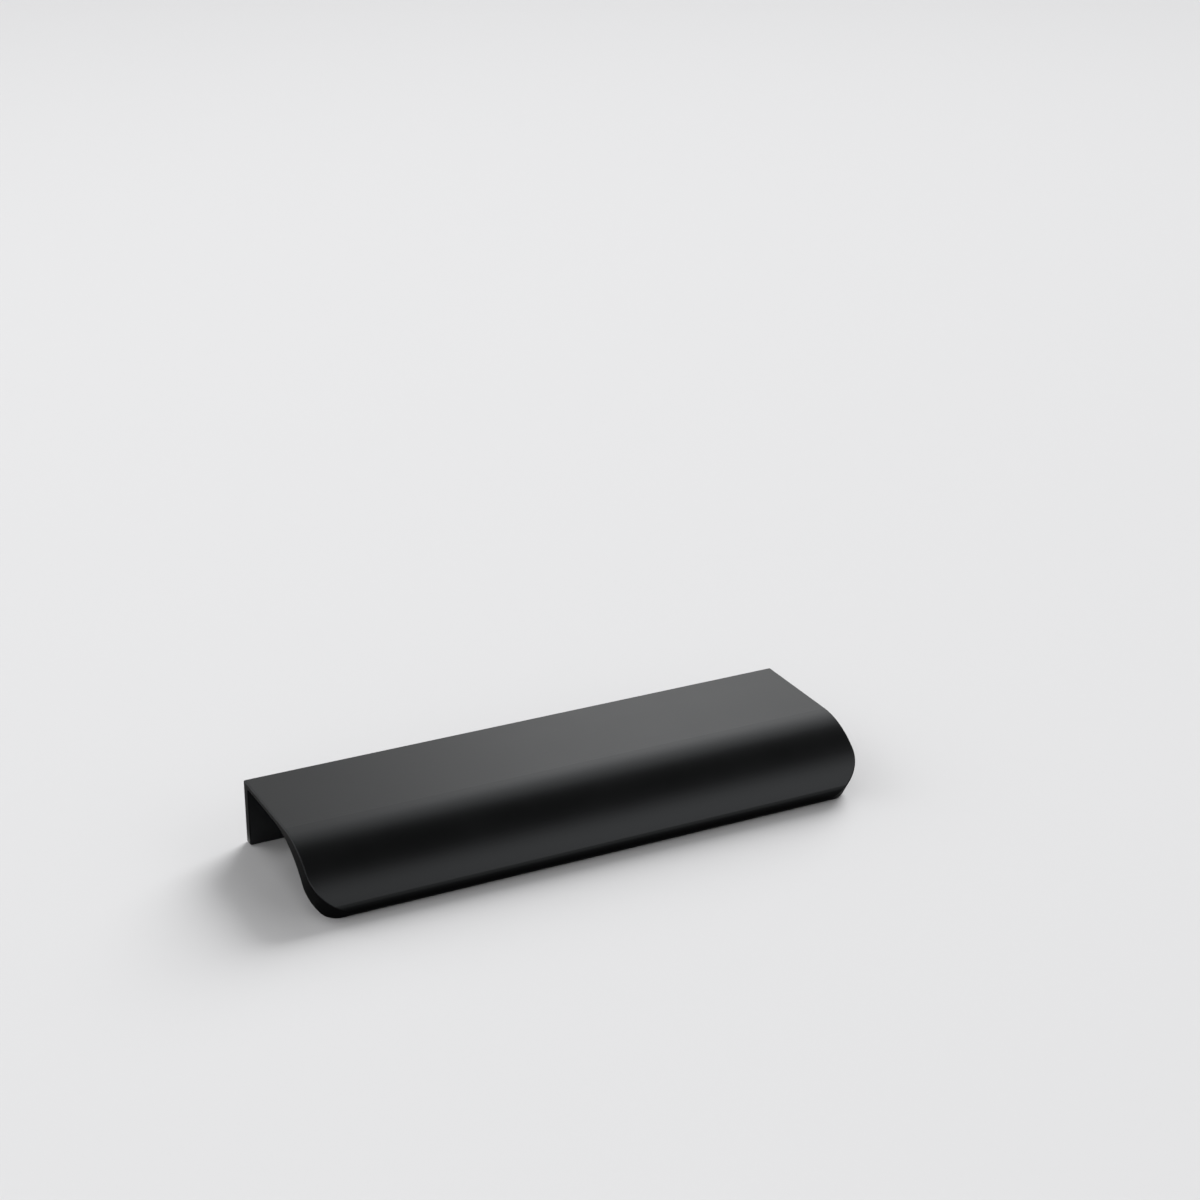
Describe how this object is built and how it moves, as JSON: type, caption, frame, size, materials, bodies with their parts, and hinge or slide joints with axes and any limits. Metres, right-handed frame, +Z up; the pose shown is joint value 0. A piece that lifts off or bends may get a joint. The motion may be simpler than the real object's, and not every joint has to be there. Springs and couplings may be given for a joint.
{
  "type": "edge pull",
  "caption": "Black edge pull for a drawer front: a flat plate that curves forward and down into a thick rounded lip, with a screw flange that hooks behind the front.",
  "frame": {"origin": "midway between the two screw holes, on the flange face that meets the back of the drawer front", "axes": "+X along the pull, -Y towards the user, where the lip points, +Z up out of the plate"},
  "size_m": [0.16, 0.0516, 0.0182],
  "materials": {
    "black_aluminium": "satin black anodised"
  },
  "bodies": {
    "root": {"edge_pull": "black_aluminium"}
  },
  "joints": []
}
